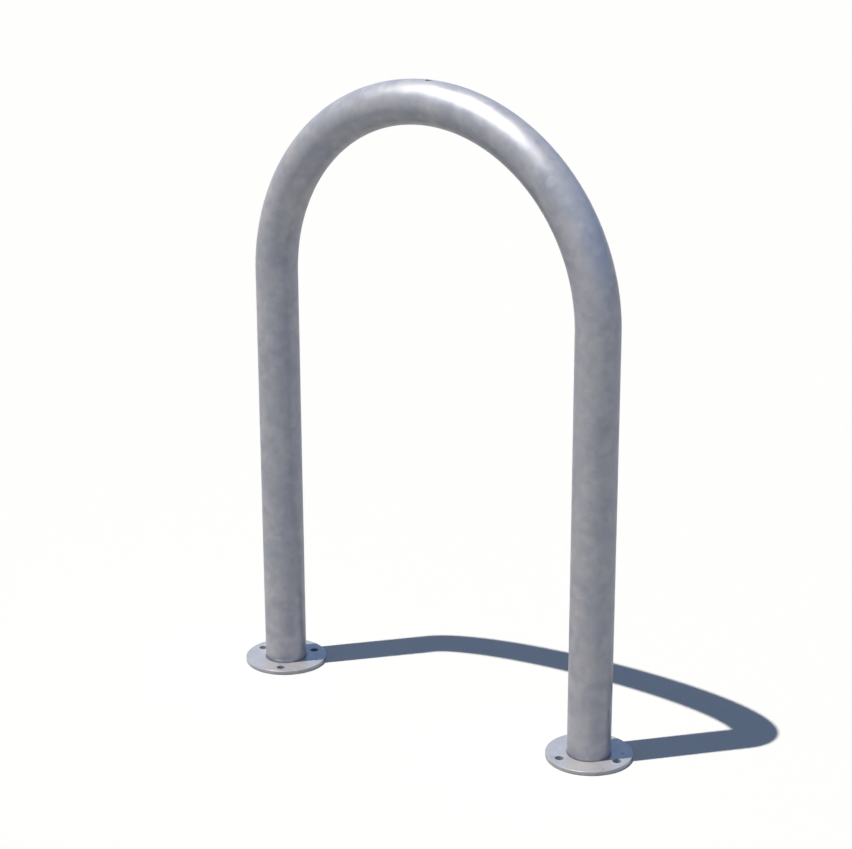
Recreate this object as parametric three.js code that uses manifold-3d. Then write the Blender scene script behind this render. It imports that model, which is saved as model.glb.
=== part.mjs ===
// Hoop bike rack: one bent steel tube that stands on two round floor plates.
// Millimetres, +Z up. The origin is on the ground, midway between the two legs.
// The hoop lies in the XZ plane.

import * as THREE from 'three';
import { mergeVertices } from 'three/addons/utils/BufferGeometryUtils.js';
import Module from 'manifold-3d';

const wasm = await Module();
wasm.setup();

// Driving dimensions of the hoop
const overallHeight = 900;
const overallWidth = 600;
const tubeDiameter = 60.3;
const tubeWall = 3.6;
const ventHoleDiameter = 10;

// Driving dimensions of a base plate
const plateThickness = 6;
const plateEdgeBreak = 0.8;
const anchorHoleDiameter = 12;
const anchorCircleDiameter = 90;
const anchorEdgeDistance = 15;
const anchorHoleCount = 3;

// Driving dimensions of the joint between tube and plate
const tubeEndRecess = 3;
const weldFaceRecess = 0.4;
const jointGap = 0.3;

// How far a cutting tool reaches past the faces that it cuts
const cutOverrun = 5;

// Facets, all multiples of four so that each round piece keeps its full width along X and Y
const tubeSides = 32;
const bendSteps = 36;
const plateSides = 48;
const weldSides = 32;
const anchorHoleSides = 24;
const ventHoleSides = 16;
const weldFaceSteps = 4;

// Sizes that follow from the driving dimensions
const tubeRadius = tubeDiameter / 2;
const boreRadius = tubeRadius - tubeWall;
const bendRadius = overallWidth / 2 - tubeRadius;
const bendCentreHeight = overallHeight - tubeRadius - bendRadius;
const plateRadius = anchorCircleDiameter / 2 + anchorEdgeDistance;
const plateBoreRadius = tubeRadius + jointGap;

// Materials

function galvanisedSteel(name, color, roughness) {
  return new THREE.MeshStandardMaterial({ name, color, roughness, metalness: 0.75 });
}

// Solids

function toSolid(geometry) {
  const bare = geometry.clone();
  bare.deleteAttribute('normal');
  bare.deleteAttribute('uv');
  const merged = mergeVertices(bare);
  const vertProperties = new Float32Array(merged.attributes.position.array);
  const triVerts = new Uint32Array(merged.index.array);
  return new wasm.Manifold(new wasm.Mesh({ numProp: 3, vertProperties, triVerts }));
}

function toGeometry(solid) {
  const mesh = solid.getMesh();
  const geometry = new THREE.BufferGeometry();
  geometry.setAttribute('position', new THREE.BufferAttribute(mesh.vertProperties, mesh.numProp));
  geometry.setIndex(new THREE.BufferAttribute(mesh.triVerts, 1));
  geometry.computeVertexNormals();
  return geometry;
}

function uprightCylinder(radius, bottom, top, sides) {
  const geometry = new THREE.CylinderGeometry(radius, radius, top - bottom, sides);
  geometry.rotateX(Math.PI / 2);
  geometry.translate(0, 0, (top + bottom) / 2);
  return geometry;
}

function uprightLathe(profile, sides) {
  const closed = [...profile, profile[0].clone()];
  const geometry = new THREE.LatheGeometry(closed, sides);
  geometry.rotateX(Math.PI / 2);
  return geometry;
}

// The tube's centre line: up the left leg, over the half circle and down the right leg.
// Its parameter counts stations, so that a section falls on each end and on each tangent.
// A straight leg is one station long, and each step of the bend is one.

class HoopCentreLine extends THREE.Curve {
  constructor(radius, bendHeight, endHeight, steps) {
    super();
    this.radius = radius;
    this.bendHeight = bendHeight;
    this.endHeight = endHeight;
    this.steps = steps;
    this.stations = 1 + steps + 1;
  }

  getPoint(share, target = new THREE.Vector3()) {
    const station = share * this.stations;
    if (station < 1) {
      const height = THREE.MathUtils.lerp(this.endHeight, this.bendHeight, station);
      return target.set(-this.radius, 0, height);
    }
    const left = this.stations - station;
    if (left < 1) {
      const height = THREE.MathUtils.lerp(this.endHeight, this.bendHeight, left);
      return target.set(this.radius, 0, height);
    }
    const turn = Math.PI * (station - 1) / this.steps;
    const x = -this.radius * Math.cos(turn);
    const z = this.bendHeight + this.radius * Math.sin(turn);
    return target.set(x, 0, z);
  }

  getTangent(share, target = new THREE.Vector3()) {
    const station = share * this.stations;
    const bent = THREE.MathUtils.clamp(station - 1, 0, this.steps);
    const turn = Math.PI * bent / this.steps;
    return target.set(Math.sin(turn), 0, Math.cos(turn));
  }

  getPointAt(share, target) {
    return this.getPoint(share, target);
  }

  getTangentAt(share, target) {
    return this.getTangent(share, target);
  }
}

// Hoop tube: a hollow sweep, open at both feet, with a vent hole through the top of the crown

function hoopTube() {
  const section = new THREE.Shape();
  section.absarc(0, 0, tubeRadius, 0, 2 * Math.PI);
  const bore = new THREE.Path();
  bore.absarc(0, 0, boreRadius, 0, 2 * Math.PI, true);
  section.holes.push(bore);
  const centreLine = new HoopCentreLine(bendRadius, bendCentreHeight, tubeEndRecess, bendSteps);
  const sweep = new THREE.ExtrudeGeometry(section, {
    extrudePath: centreLine,
    steps: centreLine.stations,
    curveSegments: tubeSides / 2,
    bevelEnabled: false,
  });
  const crownCentreHeight = overallHeight - tubeRadius;
  const ventTool = uprightCylinder(
    ventHoleDiameter / 2,
    crownCentreHeight,
    overallHeight + cutOverrun,
    ventHoleSides,
  );
  return toGeometry(toSolid(sweep).subtract(toSolid(ventTool)));
}

// Base plate: a round plate with broken edges, a bore for the tube and a ring of anchor holes.
// The first anchor hole lies on the plate's own +X.

function basePlate() {
  const profile = [
    new THREE.Vector2(plateBoreRadius, 0),
    new THREE.Vector2(plateRadius - plateEdgeBreak, 0),
    new THREE.Vector2(plateRadius, plateEdgeBreak),
    new THREE.Vector2(plateRadius, plateThickness - plateEdgeBreak),
    new THREE.Vector2(plateRadius - plateEdgeBreak, plateThickness),
    new THREE.Vector2(plateBoreRadius, plateThickness),
  ];
  let plate = toSolid(uprightLathe(profile, plateSides));
  for (let index = 0; index < anchorHoleCount; index += 1) {
    const angle = 2 * Math.PI * index / anchorHoleCount;
    const drill = uprightCylinder(
      anchorHoleDiameter / 2,
      -cutOverrun,
      plateThickness + cutOverrun,
      anchorHoleSides,
    );
    drill.translate(anchorCircleDiameter / 2, 0, 0);
    drill.rotateZ(angle);
    plate = plate.subtract(toSolid(drill));
  }
  return toGeometry(plate);
}

// Foot weld: a ring laid from below against the tube's end and the wall of the plate's bore.
// Its open face runs from the tube's inner edge down to the wall of the bore in a full round.

function footWeld() {
  const outer = plateBoreRadius - jointGap;
  const top = tubeEndRecess - jointGap;
  const throatWidth = outer - boreRadius;
  const throatHeight = top - weldFaceRecess;
  const profile = [
    new THREE.Vector2(outer, top),
    new THREE.Vector2(boreRadius, top),
  ];
  for (let step = 1; step <= weldFaceSteps; step += 1) {
    const turn = Math.PI / 2 * step / weldFaceSteps;
    const radius = boreRadius + throatWidth * (1 - Math.cos(turn));
    const height = top - throatHeight * Math.sin(turn);
    profile.push(new THREE.Vector2(radius, height));
  }
  return uprightLathe(profile, weldSides);
}

// Assembly

function named(name, geometry, material) {
  const mesh = new THREE.Mesh(geometry, material);
  mesh.name = name;
  return mesh;
}

const rack = new THREE.Group();

rack.add(named('hoop_tube', hoopTube(), galvanisedSteel('galvanised_tube', 0x90939a, 0.45)));

const feet = [
  { side: 'left', x: -bendRadius, turn: Math.PI },
  { side: 'right', x: bendRadius, turn: 0 },
];

for (const { side, x, turn } of feet) {
  const foot = new THREE.Group();
  const plateMaterial = galvanisedSteel(`${side}_plate_zinc`, 0xb9bac2, 0.4);
  const weldMaterial = galvanisedSteel(`${side}_weld_zinc`, 0x85888c, 0.6);
  foot.add(named(`${side}_base_plate`, basePlate(), plateMaterial));
  foot.add(named(`${side}_foot_weld`, footWeld(), weldMaterial));
  foot.position.set(x, 0, 0);
  foot.rotation.z = turn;
  rack.add(foot);
}

export default rack;
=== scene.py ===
"""Hoop bike rack: the finish of the galvanised hoop, its floor plates and its welds. Metres, +Z up."""

import math

import bmesh
import bpy
from mathutils import Matrix, Vector, noise


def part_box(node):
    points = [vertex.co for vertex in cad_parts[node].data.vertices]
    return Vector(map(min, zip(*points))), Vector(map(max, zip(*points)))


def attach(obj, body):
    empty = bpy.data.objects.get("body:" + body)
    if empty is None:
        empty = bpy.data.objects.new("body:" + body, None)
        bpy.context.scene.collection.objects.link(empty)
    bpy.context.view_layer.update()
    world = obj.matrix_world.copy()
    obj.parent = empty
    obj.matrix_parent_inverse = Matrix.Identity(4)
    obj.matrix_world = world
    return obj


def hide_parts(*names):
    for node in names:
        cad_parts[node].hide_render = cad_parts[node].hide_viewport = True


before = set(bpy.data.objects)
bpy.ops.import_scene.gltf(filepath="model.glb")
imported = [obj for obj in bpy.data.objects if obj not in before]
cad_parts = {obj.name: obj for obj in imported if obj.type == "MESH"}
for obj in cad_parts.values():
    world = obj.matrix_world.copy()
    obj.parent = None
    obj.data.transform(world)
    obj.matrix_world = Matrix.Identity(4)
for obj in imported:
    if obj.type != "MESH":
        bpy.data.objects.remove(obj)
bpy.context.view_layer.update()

# Sizes of the real object that the frame's boxes don't give
HOOP_HEIGHT = 0.900
TUBE_WALL = 0.0036
VENT_DIAMETER = 0.010
ANCHOR_HOLE_DIAMETER = 0.012
ANCHOR_CIRCLE_DIAMETER = 0.090
ANCHOR_HOLE_COUNT = 3

# Gap between the tube and a plate's bore, which are fused on the real object
BORE_GAP = 0.0002

# Rounding that the zinc bath leaves on cut edges
RIM_ROUND = 0.0009
HOLE_ROUND = 0.0005
VENT_ROUND = 0.0003
BORE_ROUND = 0.0004

# Unevenness of the tube's zinc skin
SKIN_DEPTH = 0.00005
SKIN_WAVE = 0.022

# Ripples of the weld bead, each bowed along the bead by this many radians
WELD_RIPPLES = 54
WELD_RIPPLE_DEPTH = 0.00012
WELD_RIPPLE_BOW = 1.6

# Sizes from the frame's boxes, and those that follow from them
tube_low, tube_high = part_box("hoop_tube")
TUBE_RADIUS = (tube_high.y - tube_low.y) / 2
TUBE_INNER_RADIUS = TUBE_RADIUS - TUBE_WALL
TUBE_BOTTOM = tube_low.z
BEND_RADIUS = (tube_high.x - tube_low.x) / 2 - TUBE_RADIUS
BEND_CENTRE = HOOP_HEIGHT - TUBE_RADIUS - BEND_RADIUS
PLATE_BORE_RADIUS = TUBE_RADIUS + BORE_GAP

# Mesh counts of the tube: sides, and steps of a leg and of the bend
TUBE_SIDES = 96
LEG_STEPS = 48
BEND_STEPS = 144

# The cells that the vent hole takes: bend steps to either side of it, the parts of each, and tube sides
VENT_BLOCK_STEPS = 2
VENT_BLOCK_SPLIT = 3
VENT_BLOCK_SIDES = 6

# Mesh counts of a plate: sides, and rings inside, across and outside the cells that its anchor holes take
PLATE_SIDES = 144
PLATE_INNER_RINGS = 4
PLATE_BLOCK_RINGS = 12
PLATE_OUTER_RINGS = 3

# The cells that an anchor hole takes: plate sides to either side of it, and their share of the width
PLATE_BLOCK_SIDES = 6
PLATE_BLOCK_SHARE = 0.6

# Mesh counts of a weld, of the rings round a hole and of a rounded edge
WELD_SIDES = 432
WELD_FACE_STEPS = 12
SPREAD_RINGS = 4
ROUND_STEPS = 4

# The rows of a plate's skin, on its top, that the blocks take
PLATE_BLOCK_FIRST = ROUND_STEPS + PLATE_INNER_RINGS
PLATE_BLOCK_LAST = PLATE_BLOCK_FIRST + PLATE_BLOCK_RINGS

# Zinc: patches, crystals and grains to the metre, finer layers in patches and grain, how far the patches
# are twisted, and how softly the crystals meet
CLOUD_SCALE = 30.0
CLOUD_DETAIL = 2.0
CLOUD_TWIST = 0.6
CRYSTAL_SCALE = 105.0
CRYSTAL_SOFTNESS = 0.35
GRAIN_SCALE = 700.0
GRAIN_DETAIL = 3.0

# Zinc: how many times further patches change tint than shade, how far they change roughness, how far
# grain changes shade, and the grain's relief
TINT_GAIN = 4.0
ROUGHNESS_SPREAD = 0.12
GRAIN_SPREAD = 0.06
RELIEF_STRENGTH = 0.35
RELIEF_DEPTH = 0.0002

# Zinc on each piece: its tints, how metallic, glossy and rough it is, and how far its patterns show
TUBE_ZINC = {
    "cool": (0.479, 0.497, 0.577),
    "warm": (0.523, 0.51, 0.527),
    "metallic": 0.3,
    "ior": 1.12,
    "roughness": 0.38,
    "cloud_spread": 0.4,
    "crystal_spread": 0.12,
}
PLATE_ZINC = {
    "cool": (0.51, 0.512, 0.56),
    "warm": (0.54, 0.527, 0.545),
    "metallic": 0.27,
    "ior": 1.3,
    "roughness": 0.33,
    "cloud_spread": 0.3,
    "crystal_spread": 0.1,
}
WELD_ZINC = {
    "cool": (0.38, 0.385, 0.4),
    "warm": (0.39, 0.39, 0.39),
    "metallic": 0.27,
    "ior": 1.3,
    "roughness": 0.5,
    "cloud_spread": 0.3,
    "crystal_spread": 0.08,
}

# Camera, fitted to the photograph, in degrees, metres and millimetres of lens and film
CAMERA_AZIMUTH = -53.21
CAMERA_ELEVATION = 18.57
CAMERA_ROLL = -0.17
CAMERA_DISTANCE = 3.10286
CAMERA_AIM = (-0.00636, 0.0, 0.42311)
CAMERA_LENS = 95.18
CAMERA_SENSOR = 36.0

# Sun, its direction fitted to the shadow in the photograph, in degrees
SUN_AZIMUTH = 230.1
SUN_ELEVATION = 69.6
SUN_WIDTH = 0.53
SUN_STRENGTH = 3.25
SUN_COLOUR = (1.0, 0.935, 0.82)

# A broad soft light round the sun that only the hoop's gloss shows, as wide as the photograph's highlight
SHEEN_WIDTH = 58.0
SHEEN_STRENGTH = 4.0
SHEEN_COLOUR = (1.0, 0.965, 0.91)

# Sky colours by the sine of the elevation, as the camera and gloss see them, away from and toward the sun
SKY_AWAY = (
    (0.0, (0.985, 0.985, 0.985)),
    (0.1, (0.9, 0.93, 0.97)),
    (0.22, (0.06, 0.33, 0.84)),
    (0.5, (0.4, 0.63, 1.02)),
    (1.0, (0.76, 0.85, 1.03)),
)
SKY_SUNWARD = (
    (0.0, (0.985, 0.985, 0.985)),
    (0.14, (0.9, 0.95, 1.02)),
    (0.5, (0.8, 0.94, 1.08)),
    (1.0, (0.76, 0.85, 1.03)),
)

# Cosines of the angle to the sun's compass direction between which the one sky turns into the other
SUNWARD_FROM = -0.2
SUNWARD_FULL = 0.9

# Sky colours as they light dull surfaces
SKY_LIGHT = (
    (0.0, (0.33, 0.43, 0.63)),
    (0.4, (0.12, 0.165, 0.24)),
    (1.0, (0.055, 0.07, 0.1)),
)

# The floor: white as it is seen, dark in the light that it throws back, with painted shade under the
# plates
FLOOR_HALF = 40.0
FLOOR_SEEN = (0.93, 0.955, 0.995, 1.0)
FLOOR_BOUNCE = (0.115, 0.11, 0.09, 1.0)
FLOOR_PAINTED_SHADE = (0.16, 0.2, 0.26, 1.0)

# Spacing of shader nodes in the node editor
NODE_COLUMN = 280.0
NODE_ROW = 380.0


# Mesh helpers


def make_object(name, bm):
    """Turns a bmesh into an object in the scene, smooth all over and without stray vertices."""
    bmesh.ops.delete(bm, geom=[vertex for vertex in bm.verts if not vertex.link_faces], context="VERTS")
    mesh = bpy.data.meshes.new(name)
    bm.to_mesh(mesh)
    bm.free()
    for face in mesh.polygons:
        face.use_smooth = True
    made = bpy.data.objects.new(name, mesh)
    bpy.context.scene.collection.objects.link(made)
    return made


def place_rings(bm, rings):
    """Makes a vertex at each point of each ring."""
    return [[bm.verts.new(point) for point in ring] for ring in rings]


def bridge(bm, rings):
    """Joins closed rings of vertices, each to the next, with quads."""
    for ring, following in zip(rings, rings[1:]):
        for index, corner in enumerate(ring):
            after = (index + 1) % len(ring)
            bm.faces.new((corner, ring[after], following[after], following[index]))


def circle_places(reach, start, count):
    """Places (x, y) at equal turns on a circle, from the turn start on."""
    turns = [start + math.tau * index / count for index in range(count)]
    return [(reach * math.cos(turn), reach * math.sin(turn)) for turn in turns]


def rounded(size):
    """The quarter round of an edge, step by step: how far it stands back, and how far it has dropped."""
    turns = [math.pi / 2 * step / ROUND_STEPS for step in range(1, ROUND_STEPS + 1)]
    return [(size * (1 - math.sin(turn)), size * (1 - math.cos(turn))) for turn in turns]


def block_edge(first_row, last_row, first_column, last_column):
    """The grid places round a block of cells, in the order in which its faces turn."""
    edge = [(row, first_column) for row in range(first_row, last_row)]
    edge += [(last_row, column) for column in range(first_column, last_column)]
    edge += [(row, last_column) for row in range(last_row, first_row, -1)]
    edge += [(first_row, column) for column in range(last_column, first_column, -1)]
    return edge


def spread_rings(edge, circle, settle):
    """Rings that lead from a block's edge to the circle inside it, each point settled on the surface."""
    rings = []
    for step in range(1, SPREAD_RINGS):
        share = step / SPREAD_RINGS
        rings.append([settle(start.lerp(end, share)) for start, end in zip(edge, circle)])
    return rings + [circle]


def roughen(bm, depth, wave):
    """Moves each vertex along its normal by a smooth noise, as a zinc skin is uneven."""
    bm.normal_update()
    moves = [vertex.normal * depth * noise.noise(vertex.co / wave) for vertex in bm.verts]
    for vertex, move in zip(bm.verts, moves):
        vertex.co += move


# Hoop


def bend_turns():
    """The turns along the bend at which a section stands, closer together beside the vent hole."""
    step = math.pi / BEND_STEPS
    middle = BEND_STEPS // 2
    turns = []
    for index in range(BEND_STEPS):
        beside = middle - VENT_BLOCK_STEPS <= index < middle + VENT_BLOCK_STEPS
        split = VENT_BLOCK_SPLIT if beside else 1
        turns += [step * (index + part / split) for part in range(split)]
    return turns + [math.pi]


def tube_stations():
    """Each section's centre and the direction from it to the outside of the hoop."""
    rise = BEND_CENTRE - TUBE_BOTTOM
    heights = [TUBE_BOTTOM + rise * step / LEG_STEPS for step in range(LEG_STEPS)]
    stations = [(Vector((-BEND_RADIUS, 0, height)), Vector((-1, 0, 0))) for height in heights]
    for turn in bend_turns():
        outward = Vector((-math.cos(turn), 0, math.sin(turn)))
        stations.append((Vector((0, 0, BEND_CENTRE)) + outward * BEND_RADIUS, outward))
    stations += [(Vector((BEND_RADIUS, 0, height)), Vector((1, 0, 0))) for height in reversed(heights)]
    return stations


def tube_skin(stations, radius):
    """A ring of points round each station."""
    places = circle_places(radius, 0, TUBE_SIDES)
    rings = []
    for centre, outward in stations:
        rings.append([centre + outward * out + Vector((0, across, 0)) for out, across in places])
    return rings


def vent_block(station_count):
    """The first and last row and column of the cells that the vent hole takes."""
    middle = (station_count - 1) // 2
    reach = VENT_BLOCK_STEPS * VENT_BLOCK_SPLIT
    return middle - reach, middle + reach, -VENT_BLOCK_SIDES, VENT_BLOCK_SIDES


def cover_tube(bm, skin, block, inside_out):
    """Fills a skin with quads, apart from the cells that the vent hole takes."""
    first_row, last_row, first_column, last_column = block
    for row in range(len(skin) - 1):
        for column in range(-TUBE_SIDES // 2, TUBE_SIDES // 2):
            if first_row <= row < last_row and first_column <= column < last_column:
                continue
            corners = [(row, column), (row + 1, column), (row + 1, column + 1), (row, column + 1)]
            if inside_out:
                corners.reverse()
            bm.faces.new([skin[r][c % TUBE_SIDES] for r, c in corners])


def crown_point(x, y, radius):
    """The point above (x, y) on the tube's skin of that radius, near the crown."""
    lift = BEND_RADIUS + math.sqrt(radius**2 - y**2)
    return Vector((x, y, BEND_CENTRE + math.sqrt(lift**2 - x**2)))


def vent_rings(outer_edge, inner_edge):
    """The rings of points that lead from the outer skin, down the vent hole, to the inner skin."""
    hole = VENT_DIAMETER / 2
    start = math.atan2(outer_edge[0].y, outer_edge[0].x)

    def ring(reach, radius, sink):
        places = circle_places(reach, start, len(outer_edge))
        return [crown_point(x, y, radius) - Vector((0, 0, sink)) for x, y in places]

    def spread(edge, radius):
        def on_skin(point):
            return crown_point(point.x, point.y, radius)

        return spread_rings(edge, ring(hole + VENT_ROUND, radius, 0), on_skin)

    arc = rounded(VENT_ROUND)
    rings = spread(outer_edge, TUBE_RADIUS)
    rings += [ring(hole + back, TUBE_RADIUS, drop) for back, drop in arc]
    rings += [ring(hole + back, TUBE_INNER_RADIUS, -drop) for back, drop in reversed(arc)]
    return rings + list(reversed(spread(inner_edge, TUBE_INNER_RADIUS)))


def make_hoop():
    """One bent tube, hollow and open at its feet, with the vent hole through the crown."""
    stations = tube_stations()
    block = vent_block(len(stations))
    bm = bmesh.new()
    outer = place_rings(bm, tube_skin(stations, TUBE_RADIUS))
    inner = place_rings(bm, tube_skin(stations, TUBE_INNER_RADIUS))
    cover_tube(bm, outer, block, inside_out=False)
    cover_tube(bm, inner, block, inside_out=True)
    bridge(bm, (outer[0], inner[0]))
    bridge(bm, (inner[-1], outer[-1]))
    edge = block_edge(*block)
    outer_edge = [outer[row][column % TUBE_SIDES] for row, column in edge]
    inner_edge = [inner[row][column % TUBE_SIDES] for row, column in edge]
    rings = vent_rings([vertex.co for vertex in outer_edge], [vertex.co for vertex in inner_edge])
    bridge(bm, [outer_edge, *place_rings(bm, rings), inner_edge])
    roughen(bm, SKIN_DEPTH, SKIN_WAVE)
    return make_object("hoop", bm)


# Base plates


def plate_section(rim, thickness):
    """The plate's closed section as points (radius, height), out over its top and back below."""
    middle = ANCHOR_CIRCLE_DIAMETER / 2
    half = (rim - PLATE_BORE_RADIUS) * PLATE_BLOCK_SHARE / 2
    bands = (
        (PLATE_BORE_RADIUS + BORE_ROUND, middle - half, PLATE_INNER_RINGS),
        (middle - half, middle + half, PLATE_BLOCK_RINGS),
        (middle + half, rim - RIM_ROUND, PLATE_OUTER_RINGS),
    )
    upper = [(PLATE_BORE_RADIUS + back, thickness - drop) for back, drop in reversed(rounded(BORE_ROUND))]
    for low, high, count in bands:
        upper += [(low + (high - low) * step / count, thickness) for step in range(count)]
    upper.append((rim - RIM_ROUND, thickness))
    upper += [(rim - back, thickness - drop) for back, drop in rounded(RIM_ROUND)]
    return upper + [(radius, thickness - height) for radius, height in reversed(upper)]


def gives_way(row, column, row_count, hole_columns):
    """Whether a cell of the plate's skin, on its top or its underside, gives way to an anchor hole."""
    # A cell spans its row and the next, so the last cell but one lies opposite the first
    opposite = row_count - 2 - row
    level = any(PLATE_BLOCK_FIRST <= cell < PLATE_BLOCK_LAST for cell in (row, opposite))
    starts = [middle - PLATE_BLOCK_SIDES for middle in hole_columns]
    return level and any((column - start) % PLATE_SIDES < 2 * PLATE_BLOCK_SIDES for start in starts)


def cover_plate(bm, grid, hole_columns):
    """Fills the plate's skin with quads, apart from the cells that give way to its anchor holes."""
    for row, ring in enumerate(grid):
        following = grid[(row + 1) % len(grid)]
        for column in range(PLATE_SIDES):
            if not gives_way(row, column, len(grid), hole_columns):
                after = (column + 1) % PLATE_SIDES
                bm.faces.new((ring[column], following[column], following[after], ring[after]))


def anchor_hole_rings(edge, centre, thickness):
    """The rings of points from the plate's top, down an anchor hole, to its underside."""
    hole = ANCHOR_HOLE_DIAMETER / 2
    first = edge[0] - centre
    start = math.atan2(first.y, first.x)

    def ring(reach, height):
        places = circle_places(reach, start, len(edge))
        return [Vector((centre.x + x, centre.y + y, height)) for x, y in places]

    def spread(height):
        def on_face(point):
            return Vector((point.x, point.y, height))

        return spread_rings(edge, ring(hole + HOLE_ROUND, height), on_face)

    arc = rounded(HOLE_ROUND)
    rings = spread(thickness)
    rings += [ring(hole + back, thickness - drop) for back, drop in arc]
    rings += [ring(hole + back, drop) for back, drop in reversed(arc)]
    return rings + list(reversed(spread(0)))


def cut_anchor_hole(bm, grid, column, thickness):
    """Joins the plate's top to its underside through the anchor hole at that column."""
    sides = (column - PLATE_BLOCK_SIDES, column + PLATE_BLOCK_SIDES)
    edge = block_edge(PLATE_BLOCK_FIRST, PLATE_BLOCK_LAST, *sides)
    top = [grid[row][side % PLATE_SIDES] for row, side in edge]
    bottom = [grid[-1 - row][side % PLATE_SIDES] for row, side in edge]
    turn = math.tau * column / PLATE_SIDES
    centre = Vector((math.cos(turn), math.sin(turn), 0)) * ANCHOR_CIRCLE_DIAMETER / 2
    rings = anchor_hole_rings([vertex.co for vertex in top], centre, thickness)
    bridge(bm, [top, *place_rings(bm, rings), bottom])


def make_plate(side):
    """A round floor plate with a bore for the tube and its anchor holes, one of them pointing outward."""
    low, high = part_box(f"{side}_base_plate")
    middle = (low + high) / 2
    thickness = high.z - low.z
    bm = bmesh.new()
    rings = []
    for radius, height in plate_section((high.x - low.x) / 2, thickness):
        rings.append([Vector((x, y, height)) for x, y in circle_places(radius, 0, PLATE_SIDES)])
    grid = place_rings(bm, rings)
    outward = 0 if middle.x > 0 else PLATE_SIDES // 2
    pitch = PLATE_SIDES // ANCHOR_HOLE_COUNT
    hole_columns = [outward + pitch * index for index in range(ANCHOR_HOLE_COUNT)]
    cover_plate(bm, grid, hole_columns)
    for column in hole_columns:
        cut_anchor_hole(bm, grid, column, thickness)
    bmesh.ops.translate(bm, verts=bm.verts, vec=(middle.x, middle.y, low.z))
    return make_object(f"{side}_plate", bm)


# Foot welds


def weld_point(angle, share, low, high):
    """A point of the bead's rippled face, from the tube's inner edge down to the wall of the bore."""
    turn = math.pi / 2 * share
    bulge = math.sin(math.pi * share)
    ripple = WELD_RIPPLE_DEPTH * bulge * abs(math.sin(WELD_RIPPLES * angle / 2 + WELD_RIPPLE_BOW * bulge))
    width = PLATE_BORE_RADIUS - TUBE_INNER_RADIUS
    radius = TUBE_INNER_RADIUS + width * (1 - math.cos(turn)) + ripple * math.cos(turn)
    height = high - (high - low - ripple) * math.sin(turn)
    return Vector((radius * math.cos(angle), radius * math.sin(angle), height))


def make_weld(side):
    """The rippled bead in the bore's lower end, which joins the tube's end to the plate."""
    low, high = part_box(f"{side}_foot_weld")
    middle = (low + high) / 2
    angles = [math.tau * index / WELD_SIDES for index in range(WELD_SIDES)]
    shares = [step / WELD_FACE_STEPS for step in range(WELD_FACE_STEPS + 1)]
    rings = [[weld_point(angle, share, low.z, high.z) for angle in angles] for share in shares]
    rings.append([Vector((x, y, high.z)) for x, y in circle_places(PLATE_BORE_RADIUS, 0, WELD_SIDES)])
    bm = bmesh.new()
    made = place_rings(bm, rings)
    bridge(bm, [*made, made[0]])
    bmesh.ops.recalc_face_normals(bm, faces=bm.faces)
    bmesh.ops.translate(bm, verts=bm.verts, vec=(middle.x, middle.y, 0))
    return make_object(f"{side}_weld", bm)


# Shader helpers


def blank_tree(owner):
    """The node tree of a material or of the world, emptied."""
    owner.use_nodes = True
    owner.node_tree.nodes.clear()
    return owner.node_tree


def feed(tree, socket, value):
    """Links a socket to another one, or sets its value."""
    if isinstance(value, bpy.types.NodeSocket):
        tree.links.new(value, socket)
    else:
        socket.default_value = value


def lay_out(tree, node):
    """Sets a node one column to the right of those that feed it, below the others in that column."""
    feeding = [link.from_node.location.x for link in tree.links if link.to_node == node]
    node.location.x = max(feeding, default=0) + NODE_COLUMN
    column = [other for other in tree.nodes if other.location.x == node.location.x]
    node.location.y = -NODE_ROW * len(column)


def add(tree, kind, inputs=None, **settings):
    """Adds a shader node, sets its properties, feeds its inputs and sets it among the others."""
    node = tree.nodes.new(kind)
    for key, value in settings.items():
        setattr(node, key, value)
    for key, value in (inputs or {}).items():
        feed(tree, node.inputs[key], value)
    lay_out(tree, node)
    return node


def maths(tree, operation, first, second):
    """The result of a math node, each of whose values is a socket or a number."""
    return add(tree, "ShaderNodeMath", {0: first, 1: second}, operation=operation).outputs[0]


def mixed(tree, share, first, second):
    """A colour between two, each a socket or a colour, by a share of the second."""
    inputs = {"Factor": share, "A": first, "B": second}
    return add(tree, "ShaderNodeMix", inputs, data_type="RGBA").outputs["Result"]


def around(tree, source, spread, middle):
    """Turns a value from 0 to 1 into one that is spread evenly about the middle."""
    inputs = {"Value": source, "To Min": middle - spread / 2, "To Max": middle + spread / 2}
    return add(tree, "ShaderNodeMapRange", inputs).outputs["Result"]


# Zinc


def zinc_patterns(tree):
    """The clouds, crystal cells and grain of a zinc skin, in the object's own space."""
    place = add(tree, "ShaderNodeTexCoord").outputs["Object"]
    waves = {"Vector": place, "Scale": CLOUD_SCALE, "Detail": CLOUD_DETAIL, "Distortion": CLOUD_TWIST}
    clouds = add(tree, "ShaderNodeTexNoise", waves)
    cell_inputs = {"Vector": place, "Scale": CRYSTAL_SCALE, "Smoothness": CRYSTAL_SOFTNESS}
    cells = add(tree, "ShaderNodeTexVoronoi", cell_inputs, feature="SMOOTH_F1")
    crystals = add(tree, "ShaderNodeSeparateColor", {"Color": cells.outputs["Color"]})
    grain_inputs = {"Vector": place, "Scale": GRAIN_SCALE, "Detail": GRAIN_DETAIL}
    grain = add(tree, "ShaderNodeTexNoise", grain_inputs)
    return clouds.outputs["Fac"], crystals, grain.outputs["Fac"]


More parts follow.
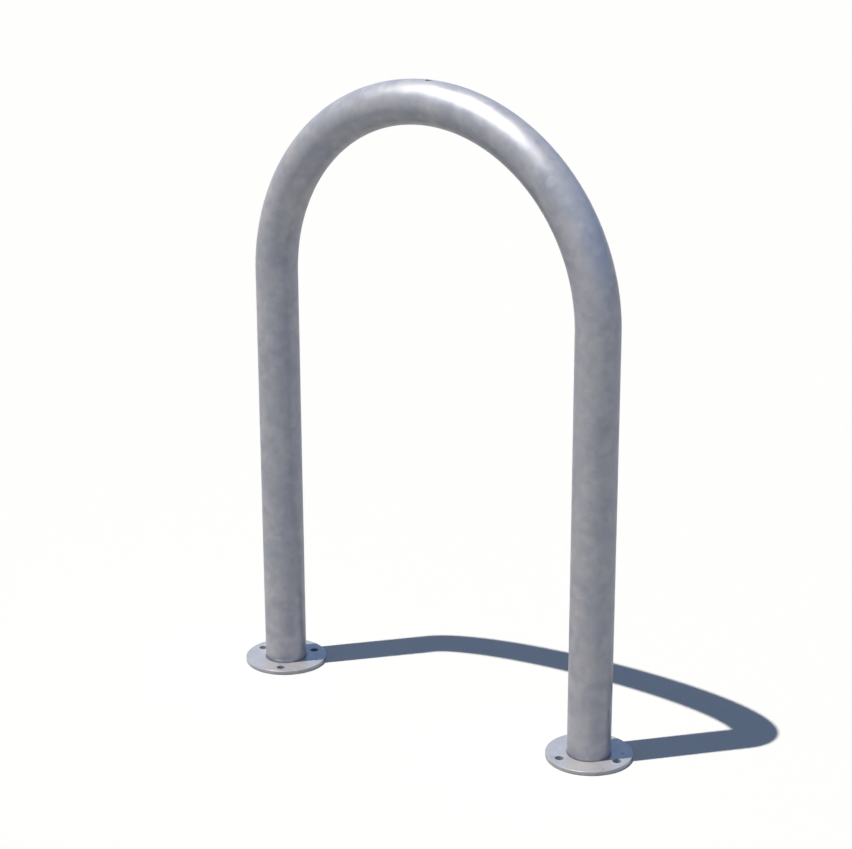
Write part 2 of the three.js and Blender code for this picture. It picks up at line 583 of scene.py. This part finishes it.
def zinc_colour(tree, finish, clouds, crystals, grain):
    """The tint of each patch, lighter and darker by cloud, crystal and grain."""
    tint_share = around(tree, clouds, finish["cloud_spread"] * TINT_GAIN, middle=0.5)
    tint = mixed(tree, tint_share, (*finish["cool"], 1.0), (*finish["warm"], 1.0))
    cloud_shade = around(tree, clouds, finish["cloud_spread"], middle=1.0)
    crystal_shade = around(tree, crystals.outputs["Red"], finish["crystal_spread"], middle=1.0)
    grain_shade = around(tree, grain, GRAIN_SPREAD, middle=1.0)
    shade = maths(tree, "MULTIPLY", cloud_shade, crystal_shade)
    shade = maths(tree, "MULTIPLY", shade, grain_shade)
    inputs = {"Vector": tint, "Scale": shade}
    return add(tree, "ShaderNodeVectorMath", inputs, operation="SCALE").outputs["Vector"]


def zinc_roughness(tree, finish, clouds, crystals):
    """Roughness that goes with the patches and from crystal to crystal."""
    crystal_part = around(tree, crystals.outputs["Green"], finish["crystal_spread"], middle=0.0)
    cloud_part = around(tree, clouds, ROUGHNESS_SPREAD, middle=finish["roughness"])
    return maths(tree, "ADD", crystal_part, cloud_part)


def galvanised(name, finish):
    """Hot-dip zinc: cloudy patches, faint crystal cells and fine grain, in colour, gloss and relief."""
    material = bpy.data.materials.new(name)
    tree = blank_tree(material)
    clouds, crystals, grain = zinc_patterns(tree)
    relief_inputs = {"Height": grain, "Strength": RELIEF_STRENGTH, "Distance": RELIEF_DEPTH}
    relief = add(tree, "ShaderNodeBump", relief_inputs)
    inputs = {
        "Base Color": zinc_colour(tree, finish, clouds, crystals, grain),
        "Metallic": finish["metallic"],
        "Roughness": zinc_roughness(tree, finish, clouds, crystals),
        "IOR": finish["ior"],
        "Normal": relief.outputs["Normal"],
    }
    shader = add(tree, "ShaderNodeBsdfPrincipled", inputs)
    add(tree, "ShaderNodeOutputMaterial", {"Surface": shader.outputs["BSDF"]})
    return material


# Pieces


def finish_piece(piece, node, material):
    """Gives a piece its material and its body, and hides the part that it stands for."""
    piece.data.materials.append(material)
    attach(piece, "root")
    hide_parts(node)


plate_zinc = galvanised("plate_zinc", PLATE_ZINC)
weld_zinc = galvanised("weld_zinc", WELD_ZINC)
hoop = make_hoop()
finish_piece(hoop, "hoop_tube", galvanised("tube_zinc", TUBE_ZINC))
for side in ("left", "right"):
    finish_piece(make_plate(side), f"{side}_base_plate", plate_zinc)
    finish_piece(make_weld(side), f"{side}_foot_weld", weld_zinc)


# Stage


def seen_share(tree):
    """1 for what the camera, gloss or a see-through surface looks at, and 0 for light on dull surfaces."""
    path = add(tree, "ShaderNodeLightPath").outputs
    seen = maths(tree, "MAXIMUM", path["Is Camera Ray"], path["Is Glossy Ray"])
    return maths(tree, "MAXIMUM", seen, path["Is Transmission Ray"])


def painted_shade_under_plates(tree):
    """1 on the floor under each plate, out past its anchor holes, where shade is painted, and 0 elsewhere.
    """
    place = add(tree, "ShaderNodeTexCoord").outputs["Object"]
    axes = add(tree, "ShaderNodeSeparateXYZ", {"Vector": place}).outputs
    across = maths(tree, "ABSOLUTE", axes["X"], 0)
    spot = add(tree, "ShaderNodeCombineXYZ", {"X": across, "Y": axes["Y"]}).outputs["Vector"]
    ends = {0: spot, 1: (BEND_RADIUS, 0, 0)}
    gap = add(tree, "ShaderNodeVectorMath", ends, operation="DISTANCE").outputs["Value"]
    return maths(tree, "LESS_THAN", gap, ANCHOR_CIRCLE_DIAMETER / 2 + ANCHOR_HOLE_DIAMETER)


def floor_material():
    """White with the rack's shadow, dark in its bounce, and a painted bluish shade where only the anchor
    holes show it.
    """
    material = bpy.data.materials.new("floor_white")
    tree = blank_tree(material)
    white = mixed(tree, seen_share(tree), FLOOR_BOUNCE, FLOOR_SEEN)
    # Painted shade: the floor under each plate is darker and bluer, so the anchor holes show it as shadow
    colour = mixed(tree, painted_shade_under_plates(tree), white, FLOOR_PAINTED_SHADE)
    shader = add(tree, "ShaderNodeBsdfDiffuse", {"Color": colour})
    add(tree, "ShaderNodeOutputMaterial", {"Surface": shader.outputs["BSDF"]})
    return material


def make_floor():
    """A wide pale floor under the plates."""
    corners = [(x * FLOOR_HALF, y * FLOOR_HALF, 0) for x, y in ((-1, -1), (1, -1), (1, 1), (-1, 1))]
    mesh = bpy.data.meshes.new("floor")
    mesh.from_pydata(corners, [], [(0, 1, 2, 3)])
    mesh.materials.append(floor_material())
    floor = bpy.data.objects.new("floor", mesh)
    bpy.context.scene.collection.objects.link(floor)


def toward(azimuth, elevation):
    """The unit vector at an azimuth from +X and an elevation above the ground, in degrees."""
    a = math.radians(azimuth)
    e = math.radians(elevation)
    return Vector((math.cos(a) * math.cos(e), math.sin(a) * math.cos(e), math.sin(e)))


def make_lamp(name, strength, width, colour):
    """A distant lamp that shines from where the photograph's shadow puts the sun."""
    lamp = bpy.data.lights.new(name, "SUN")
    lamp.energy = strength
    lamp.color = colour
    lamp.angle = math.radians(width)
    made = bpy.data.objects.new(name, lamp)
    made.rotation_mode = "QUATERNION"
    made.rotation_quaternion = toward(SUN_AZIMUTH, SUN_ELEVATION).to_track_quat("Z", "Y")
    bpy.context.scene.collection.objects.link(made)
    return made


def make_lamps(shiny):
    """The sun, and the soft light round it that only the gloss of the shiny piece shows."""
    make_lamp("sun", SUN_STRENGTH, SUN_WIDTH, SUN_COLOUR)
    sheen = make_lamp("sheen", SHEEN_STRENGTH, SHEEN_WIDTH, SHEEN_COLOUR)
    sheen.visible_diffuse = False
    lit = bpy.data.collections.new("lit_by_sheen")
    lit.objects.link(shiny)
    sheen.light_linking.receiver_collection = lit


def sky_ramp(tree, height, colours):
    """A sky whose colour goes by height."""
    ramp = add(tree, "ShaderNodeValToRGB", {"Fac": height})
    stops = ramp.color_ramp.elements
    for stop, (position, colour) in zip(stops, (colours[0], colours[-1])):
        stop.position = position
        stop.color = (*colour, 1.0)
    for position, colour in colours[1:-1]:
        stops.new(position).color = (*colour, 1.0)
    return ramp.outputs["Color"]


def sunward_share(tree, direction):
    """0 on the side of the sky away from the sun, rising to 1 toward the sun's compass direction."""
    ends = {0: direction, 1: toward(SUN_AZIMUTH, 0)}
    side = add(tree, "ShaderNodeVectorMath", ends, operation="DOT_PRODUCT").outputs["Value"]
    inputs = {"Value": side, "From Min": SUNWARD_FROM, "From Max": SUNWARD_FULL}
    share = add(tree, "ShaderNodeMapRange", inputs, interpolation_type="SMOOTHSTEP")
    return share.outputs["Result"]


def make_sky():
    """A clear sky: pale low down, deep blue away from the sun, and dimmer in the light that it gives."""
    world = bpy.data.worlds.new("sky")
    bpy.context.scene.world = world
    tree = blank_tree(world)
    direction = add(tree, "ShaderNodeTexCoord").outputs["Generated"]
    height = add(tree, "ShaderNodeSeparateXYZ", {"Vector": direction}).outputs["Z"]
    away = sky_ramp(tree, height, SKY_AWAY)
    sunward = sky_ramp(tree, height, SKY_SUNWARD)
    seen = mixed(tree, sunward_share(tree, direction), away, sunward)
    light = sky_ramp(tree, height, SKY_LIGHT)
    sky = mixed(tree, seen_share(tree), light, seen)
    background = add(tree, "ShaderNodeBackground", {"Color": sky})
    add(tree, "ShaderNodeOutputWorld", {"Surface": background.outputs["Background"]})


def make_camera():
    """The photograph's camera."""
    back = toward(CAMERA_AZIMUTH, CAMERA_ELEVATION)
    level = toward(CAMERA_AZIMUTH + 90, 0)
    upright = back.cross(level)
    roll = math.radians(CAMERA_ROLL)
    right = level * math.cos(roll) + upright * math.sin(roll)
    up = upright * math.cos(roll) - level * math.sin(roll)
    data = bpy.data.cameras.new("camera")
    data.lens = CAMERA_LENS
    data.sensor_width = CAMERA_SENSOR
    camera = bpy.data.objects.new("camera", data)
    turn = Matrix((right, up, back)).transposed().to_4x4()
    camera.matrix_world = Matrix.Translation(Vector(CAMERA_AIM) + back * CAMERA_DISTANCE) @ turn
    bpy.context.scene.collection.objects.link(camera)
    bpy.context.scene.camera = camera


make_floor()
make_lamps(hoop)
make_sky()
make_camera()
bpy.context.scene.view_settings.view_transform = "Standard"
